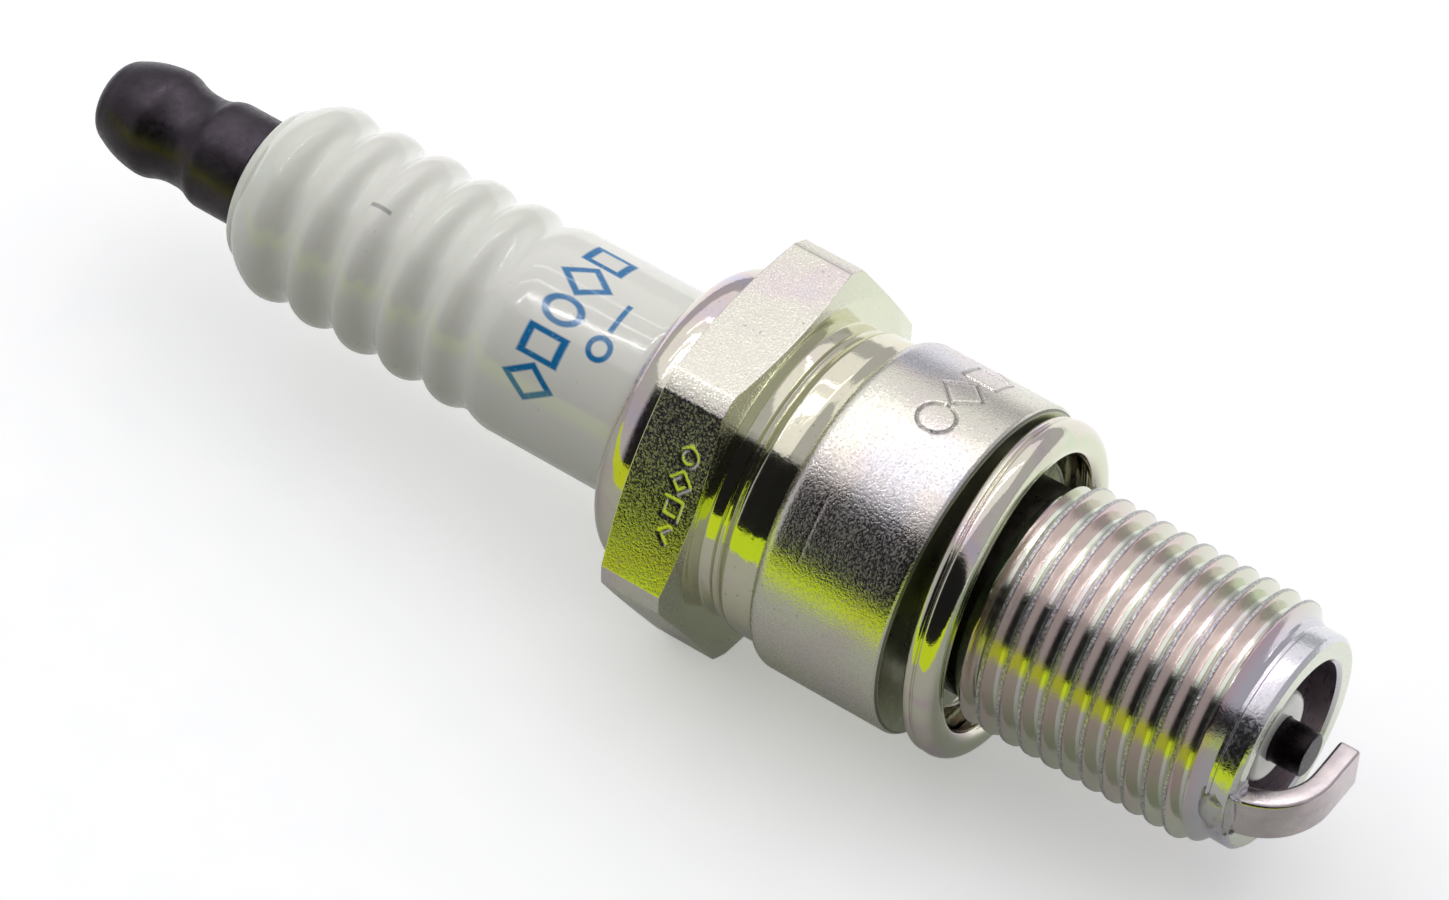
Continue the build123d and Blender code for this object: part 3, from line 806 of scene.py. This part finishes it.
def plating(
    name, roughness, grain, depth, tint_scale=0.12, speck=0.02, tone=CHAMPAGNE, share=0.0, stamped=False
):
    """Chromated zinc: pale metal with drifting thin-film tints and a fine grain, greener on front faces, with
    painted shade in the stamped marks when stamped.
    """
    n = Nodes(name)
    drift = n.noise(tint_scale, 2.0, 0.55, 0.6)
    colour = n.ramp(
        drift, (0.30, LILAC), (0.42, ROSE), (0.52, CHAMPAGNE), (0.62, CHAMPAGNE), (0.74, PALE_GREEN)
    )
    colour = n.mix(share, colour, tone)
    colour = n.mix(n.remap(n.facing_x(), 0.7, 0.95, 0.0, 0.7), colour, FRONT_GREEN)
    fine = n.noise(grain, 2.0, 0.6)
    colour = n.mix(n.remap(fine, 0.56, 0.70, 0.0, min(0.3, 8 * depth)), colour, (0.30, 0.29, 0.30))
    stain = n.remap(n.noise(1.6, 4.0, 0.7, 0.4), 0.60, 0.75)
    colour = n.mix(n.math("MULTIPLY", stain, 0.10), colour, (0.42, 0.40, 0.38))
    pits = n.remap(n.noise(4.0, 2.0, 0.5), 0.70, 0.76)
    colour = n.mix(n.math("MULTIPLY", pits, 0.4), colour, (0.16, 0.15, 0.16))
    if stamped:
        # Painted shade: the colour is darkened inside the stamped marks.
        colour = n.mix(n.math("MULTIPLY", stamp_shade(n), 0.42), colour, (0.20, 0.19, 0.18))
    rough = n.remap(n.noise(0.8, 3.0), 0.3, 0.7, roughness * 0.8, roughness * 1.25)
    rough = n.math("ADD", rough, n.remap(fine, 0.46, 0.60, 0.0, speck))
    normal = n.bump(fine, depth, 1.0)
    normal = n.bump(n.noise(0.9, 3.0), 0.012, 0.35, normal)
    return n.finish(colour, rough, normal, Metallic=1.0)


def thread_plating():
    """Thread flanks that face the firing end are rose, the others pale green, with worn crests."""
    n = Nodes("zinc_thread")
    drift = n.noise(0.25, 2.0)
    facing = n.math("ADD", n.facing_x(), n.remap(drift, 0.2, 0.8, -0.25, 0.25))
    colour = n.ramp(
        n.remap(facing, -0.8, 0.8), (0.10, (0.76, 0.86, 0.72)), (0.42, (0.80, 0.85, 0.74)),
        (0.62, (0.74, 0.62, 0.72)), (0.85, (0.76, 0.54, 0.59))
    )
    turned = n.math("SUBTRACT", n.around()[1], math.radians(THREAD_BLUSH_ANGLE))
    beside = n.math("ADD", n.math("ABSOLUTE", n.math("SINE", turned)), n.remap(drift, 0.3, 0.7, -0.12, 0.12))
    colour = n.mix(n.remap(beside, 0.72, 0.98, 0.0, 0.75), colour, (0.66, 0.74, 0.55))
    x, _ = n.around()
    colour = n.mix(n.remap(x, THREAD_END - 0.9, THREAD_END - 0.3, 0.0, 0.85), colour, (0.68, 0.67, 0.74))
    crest = n.remap(n.radius(), THREAD_R - 0.11, THREAD_R - 0.04)
    specks = n.noise(8.0, 2.0, 0.6)
    worn = n.math("MULTIPLY", crest, n.remap(specks, 0.42, 0.58, 0.1, 0.95))
    colour = n.mix(worn, colour, (0.36, 0.34, 0.42))
    rough = n.math("ADD", n.remap(n.noise(3.0, 3.0), 0.3, 0.7, 0.10, 0.2), n.math("MULTIPLY", crest, 0.15))
    normal = n.bump(n.math("MULTIPLY", specks, n.remap(crest, 0.0, 1.0, 0.12, 1.0)), 0.05, 0.9)
    return n.finish(colour, rough, normal, Metallic=1.0)


def bore_steel():
    n = Nodes("bore_steel")
    colour = n.ramp(n.noise(0.5, 3.0), (0.3, (0.22, 0.17, 0.22)), (0.7, (0.40, 0.32, 0.38)))
    lines = n.noise(2.5, 3.0, 0.6, 0.0, None, (1, 0.25, 0.25))
    normal = n.bump(lines, 0.02, 0.6)
    return n.finish(colour, n.remap(lines, 0.3, 0.7, 0.2, 0.42), normal, Metallic=0.7)


def print_mask(n):
    """Generic printed marks on the plain part: five tall outlines, then a ring and a bar."""
    x, angle = n.around()
    along = n.math("MULTIPLY", n.math("SUBTRACT", angle, math.radians(PRINT_ANGLE)), CERAMIC_R)
    stroke, soft = 0.16, 0.05

    def offset(value, centre, scale=1.0):
        return n.math("MULTIPLY", n.math("ABSOLUTE", n.math("SUBTRACT", value, centre)), scale)

    def inked(distance):
        return n.remap(n.math("ABSOLUTE", distance), stroke + soft, stroke - soft)

    def ring(a, b, size):
        square = n.math("ADD", n.math("MULTIPLY", a, a), n.math("MULTIPLY", b, b))
        return n.math("SUBTRACT", n.math("SQRT", square), size)

    def box(a, b, size):
        return n.math("SUBTRACT", n.math("MAXIMUM", a, b), size)

    def diamond(a, b, size):
        return n.math("MULTIPLY", n.math("SUBTRACT", n.math("ADD", a, b), size * 1.3), 0.75)

    masks = []
    for i, shape in enumerate((box, diamond, ring, box, diamond)):
        centre = (i - 2) * PRINT_SPACING
        masks.append(inked(shape(offset(x, PRINT_X, 0.68), offset(along, centre), 0.72)))
    masks.append(inked(ring(offset(x, SECOND_LINE_X), offset(along, 0.9), 0.6)))
    bar = n.math("MAXIMUM", offset(x, SECOND_LINE_X), n.math("SUBTRACT", offset(along, -1.1), 0.8))
    masks.append(inked(n.math("MAXIMUM", bar, 0.0)))
    total = masks[0]
    for mask in masks[1:]:
        total = n.math("MAXIMUM", total, mask)
    return total


def tick_mask(n):
    """A short grey tick on a rib."""
    x, angle = n.around()
    along = n.math("MULTIPLY", n.math("SUBTRACT", angle, math.radians(TICK_ANGLE)), RIB_R)
    thin = n.remap(n.math("ABSOLUTE", along), 0.16, 0.08)
    short = n.remap(n.math("ABSOLUTE", n.math("SUBTRACT", x, TICK_X)), 0.70, 0.60)
    return n.math("MULTIPLY", thin, short)


def glazed_ceramic():
    n = Nodes("glazed_alumina")
    drift = n.ramp(n.noise(0.10, 2.0), (0.35, (0.85, 0.87, 0.77)), (0.65, (0.90, 0.89, 0.82)))
    specks = n.remap(n.noise(3.2, 2.0, 0.4), 0.74, 0.79)
    colour = n.mix(n.math("MULTIPLY", specks, 0.35), drift, (0.45, 0.43, 0.36))
    ink_wear = n.remap(n.noise(4.0, 3.0, 0.7), 0.30, 0.42, 0.82, 1.0)
    ink = n.math("MULTIPLY", print_mask(n), ink_wear)
    colour = n.mix(ink, colour, (0.012, 0.20, 0.47))
    colour = n.mix(n.math("MULTIPLY", tick_mask(n), 0.75), colour, (0.30, 0.31, 0.31))
    rough = n.remap(n.noise(1.2, 3.0), 0.3, 0.7, 0.06, 0.13)
    normal = n.bump(n.noise(0.9, 2.0), 0.006, 0.4)
    normal = n.bump(n.noise(5.0, 2.0), 0.0012, 0.5, normal)
    return n.finish(
        colour, rough, normal, IOR=1.6, Coat_Weight=0.4, Coat_Roughness=0.04,
        Subsurface_Weight=0.12, Subsurface_Scale=0.0006,
    )


def simple_metal(name, low, high, roughness, grain=4.0, depth=0.01, metallic=1.0, stretch=None):
    """A worn metal between two colours."""
    n = Nodes(name)
    colour = n.ramp(n.noise(0.5, 4.0, 0.6), (0.32, low), (0.68, high))
    fine = n.noise(grain, 3.0, 0.6, 0.0, None, stretch)
    spots = n.remap(n.noise(2.2, 3.0, 0.6), 0.62, 0.74)
    colour = n.mix(n.math("MULTIPLY", spots, 0.3), colour, tuple(0.4 * v for v in low))
    rough = n.remap(fine, 0.3, 0.7, roughness * 0.75, roughness * 1.3)
    return n.finish(colour, rough, n.bump(fine, depth, 0.5), Metallic=metallic)


def dull(name, low, high, roughness, grain=3.0):
    """A non-metal between two colours, with a granular surface."""
    n = Nodes(name)
    fine = n.noise(grain, 4.0, 0.65)
    colour = n.ramp(fine, (0.35, low), (0.65, high))
    return n.finish(colour, n.remap(fine, 0.3, 0.7, roughness * 0.8, roughness), n.bump(fine, 0.02, 0.5))


# ======== scene ========

# Azimuth, elevation and roll in degrees, and the rest in millimetres.
CAMERA_TURN = (33.50, 49.77, -2.138)
CAMERA_AIM, CAMERA_DISTANCE, CAMERA_LENS = (-15.405, -0.998, 0.0), 346.41, 164.02

# The room: angles from straight up between which it turns dark, and strengths.
DARK_FROM, DARK_TO, ROOM_PALE, ROOM_DARK = math.radians(25), math.radians(34), 0.5, 0.012

# Thin strip lights: distance beside the plug, width and radiance.
STRIPS = ((0.055, 0.003, 26.0), (0.13, 0.006, 6.0), (0.27, 0.006, 6.0))


def add_camera():
    """Camera beside the firing end, looking down at the plug."""
    azimuth, elevation, roll = (math.radians(v) for v in CAMERA_TURN)
    aim = Vector(CAMERA_AIM) * MM
    distance = CAMERA_DISTANCE * MM
    back = Vector((
        math.sin(azimuth) * math.cos(elevation), -math.cos(azimuth) * math.cos(elevation), math.sin(elevation)
    ))
    side = (-back).cross(Vector((0, 0, 1))).normalized()
    up = side.cross(-back)
    tilted = up * math.cos(roll) + side * math.sin(roll)
    right = (-back).cross(tilted)
    data = bpy.data.cameras.new("camera")
    data.lens, data.sensor_width = CAMERA_LENS, 36.0
    data.clip_start, data.clip_end = 0.01, 20.0
    camera = bpy.data.objects.new("camera", data)
    turn = Matrix((right, tilted, back)).transposed().to_4x4()
    camera.matrix_world = Matrix.Translation(aim + back * distance) @ turn
    bpy.context.scene.collection.objects.link(camera)
    bpy.context.scene.camera = camera


def add_area(name, place, aim, size, radiance, colour=(1, 1, 1)):
    """A rectangular softbox that the camera doesn't see, of a given brightness."""
    data = bpy.data.lights.new(name, "AREA")
    data.shape = "RECTANGLE"
    data.size, data.size_y = size
    data.energy = radiance * math.pi * size[0] * size[1]
    data.color = colour
    lamp = bpy.data.objects.new(name, data)
    lamp.location = place
    lamp.rotation_euler = (Vector(aim) - Vector(place)).to_track_quat("-Z", "Y").to_euler()
    lamp.visible_camera = False
    bpy.context.scene.collection.objects.link(lamp)
    return lamp


def add_world():
    """A pale room, dark on the side in front of the plug above the table but not past its terminal."""
    world = bpy.data.worlds.new("studio")
    bpy.context.scene.world = world
    n = Nodes("studio", world)
    x, y, z = n.split(n.new("ShaderNodeTexCoord").outputs["Generated"])
    lean = n.math("ARCTAN2", n.math("MULTIPLY", y, -1.0), z)
    side = n.remap(lean, DARK_FROM, DARK_TO, ROOM_PALE, ROOM_DARK)
    side.node.interpolation_type = "SMOOTHSTEP"
    lit = n.math("MAXIMUM", side, n.remap(x, -0.40, -0.60, 0.0, ROOM_PALE))
    seen = n.new("ShaderNodeLightPath").outputs["Is Camera Ray"]
    background = n.tree.nodes["Background"]
    n.link(n.math("MAXIMUM", lit, seen), background.inputs["Strength"])
    background.inputs["Color"].default_value = (0.95, 0.96, 1.0, 1.0)


def add_floor(height):
    """A plain pale table that glows, evenly to the camera; in reflections and bounce light it is greyer and
    dimmer in front of the plug: painted shade.
    """
    half = 3.0
    mesh = bpy.data.meshes.new("floor")
    corners = [(-half, -half), (half, -half), (half, half), (-half, half)]
    mesh.from_pydata([(x, y, height) for x, y in corners], [], [(0, 1, 2, 3)])
    n = Nodes("floor_paper")
    fine = n.noise(0.3, 3.0)
    colour = n.ramp(fine, (0.3, (0.86, 0.865, 0.87)), (0.7, (0.89, 0.89, 0.89)))
    seen = n.new("ShaderNodeLightPath").outputs["Is Camera Ray"]
    # Painted shade: rays other than the camera's see the floor in front of the plug greyer and glowing less.
    behind = n.remap(n.split(n.place)[1], -0.008, 0.012)
    pale = n.math("MAXIMUM", seen, behind)
    colour = n.mix(pale, (0.46, 0.47, 0.44), colour)
    n.put(n.remap(pale, 0.0, 1.0, 0.06, 0.36), n.shader.inputs["Emission Strength"])
    n.finish(colour, 0.8, n.bump(fine, 0.02, 0.2), Specular_IOR_Level=0.1)
    n.shader.inputs["Emission Color"].default_value = (1, 1, 1, 1)
    mesh.materials.append(n.owner)
    floor = bpy.data.objects.new("floor", mesh)
    bpy.context.scene.collection.objects.link(floor)


def add_card(floor_height):
    """A yellow-green card standing in front of the plug, seen only in its reflections."""
    near, top, half = -0.050, 0.0048, 0.16
    mesh = bpy.data.meshes.new("card")
    corners = [(-half, floor_height), (half, floor_height), (half, top), (-half, top)]
    mesh.from_pydata([(x, near, z) for x, z in corners], [], [(0, 1, 2, 3)])
    n = Nodes("card_paper")
    fine = n.noise(0.3, 3.0)
    n.finish(n.ramp(fine, (0.3, (0.02, 0.03, 0.0)), (0.7, (0.03, 0.04, 0.0))), 0.8, Emission_Strength=0.75)
    n.shader.inputs["Emission Color"].default_value = (0.72, 0.92, 0.02, 1)
    mesh.materials.append(n.owner)
    card = bpy.data.objects.new("card", mesh)
    card.visible_camera = card.visible_diffuse = card.visible_shadow = False
    bpy.context.scene.collection.objects.link(card)


def cover(piece, body, slot, *nodes):
    """A detailed piece rides on its body and stands for its CAD solids."""
    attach(piece, body)
    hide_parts(*nodes)


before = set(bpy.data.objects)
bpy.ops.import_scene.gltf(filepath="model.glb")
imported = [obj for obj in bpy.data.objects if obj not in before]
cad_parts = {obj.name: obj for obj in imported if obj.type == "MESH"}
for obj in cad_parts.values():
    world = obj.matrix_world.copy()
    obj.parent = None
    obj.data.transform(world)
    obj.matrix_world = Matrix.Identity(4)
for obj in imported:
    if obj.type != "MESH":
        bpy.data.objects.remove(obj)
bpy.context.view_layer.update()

shell_materials = [
    plating("zinc_satin", 0.10, 7.5, 0.020, speck=0.22, tone=(0.76, 0.75, 0.68), share=0.45, stamped=True),
    plating("zinc_gloss", 0.09, 3.0, 0.006, tint_scale=0.18),
    thread_plating(),
    bore_steel(),
    plating("zinc_waist", 0.08, 3.0, 0.006, tint_scale=0.18, tone=(0.84, 0.81, 0.62), share=0.6),
    # Seat face and neck under the gasket are nearly black: painted shadow of the gap between flange and
    # gasket.
    plating("zinc_seat_painted_shadow", 0.30, 3.0, 0.01, tint_scale=0.18, speck=0.05, tone=(0.05, 0.045, 0.035), share=0.9),
    plating("zinc_pilot", 0.14, 5.0, 0.012, tint_scale=0.18, speck=0.12, tone=(0.80, 0.78, 0.90), share=0.7),
    plating("zinc_hexagon", 0.08, 7.5, 0.009, speck=0.20, tone=(0.76, 0.75, 0.70), share=0.35, stamped=True),
]
cover(make_shell(shell_materials), "plug_body", "zinc_plate", "shell")
cover(make_insulator([glazed_ceramic()]), "plug_body", "glazed_alumina", "insulator")
dark_steel = simple_metal("dark_steel", (0.046, 0.037, 0.048), (0.085, 0.07, 0.085), 0.36, 3.0, 0.008, 0.9)
cover(make_nut([dark_steel]), "terminal", "dark_steel", "terminal_nut")
stud_steel = simple_metal("stud_steel", (0.42, 0.42, 0.44), (0.55, 0.55, 0.56), 0.3, 4.0)
cover(make_stud([stud_steel]), "plug_body", "stud_steel", "terminal_stud")
pin_nickel = simple_metal("electrode_nickel", (0.018, 0.014, 0.018), (0.042, 0.034, 0.037), 0.30, 5.0)
cover(make_pin([pin_nickel]), "plug_body", "electrode_nickel", "center_electrode")
gasket_plate = plating("gasket_plate", 0.08, 3.0, 0.006, 0.2)
cover(make_gasket([gasket_plate]), "gasket", "gasket_plate", "crush_gasket")
strap_nickel = simple_metal(
    "strap_nickel", (0.58, 0.51, 0.53), (0.74, 0.66, 0.66), 0.22, 6.0, 0.006, 1.0, (0.4, 1, 1)
)
cover(make_strap([strap_nickel]), "plug_body", "strap_nickel", "ground_electrode")
weld_nickel = simple_metal("weld_nickel", (0.48, 0.45, 0.50), (0.72, 0.69, 0.74), 0.42, 7.0, 0.02, 0.8)
for bead in make_welds([weld_nickel]):
    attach(bead, "plug_body")

inner_materials = {
    "upper_glass_seal": dull("seal_glass", (0.10, 0.09, 0.08), (0.17, 0.15, 0.13), 0.35),
    "resistor": dull("resistor_mix", (0.08, 0.08, 0.085), (0.14, 0.13, 0.13), 0.7, 5.0),
    "electrode_core": simple_metal("copper", (0.75, 0.36, 0.22), (0.88, 0.47, 0.32), 0.25),
    "upper_packing_ring": simple_metal("packing_steel", (0.40, 0.40, 0.41), (0.52, 0.52, 0.53), 0.35),
    "talc_fill": dull("talc", (0.72, 0.72, 0.68), (0.82, 0.82, 0.78), 0.9, 6.0),
}
inner_materials["lower_glass_seal"] = inner_materials["upper_glass_seal"]
inner_materials["lower_packing_ring"] = inner_materials["upper_packing_ring"]
inner_materials["inner_gasket"] = inner_materials["upper_packing_ring"]
for node, material in inner_materials.items():
    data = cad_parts[node].data
    data.materials.clear()
    data.materials.append(material)

floor_height = (-HEX_APOTHEM - 0.02) * MM
add_floor(floor_height)
add_card(floor_height)
add_area("softbox", (-0.20, 0.17, 0.45), (0, 0, 0), (0.9, 0.7), 0.45, (1.0, 0.98, 0.97))
for i, (beside, wide, radiance) in enumerate(STRIPS):
    strip = add_area(f"strip_{i}", (-0.17, beside, 0.44), (0, 0, 0), (0.5, wide), radiance)
    strip.visible_diffuse = False
fill = add_area("fill", (-0.15, 0.05, 0.60), (0, 0, 0), (1.2, 1.0), 0.42)
fill.visible_glossy = False
add_world()
add_camera()
bpy.context.scene.view_settings.view_transform = "Standard"
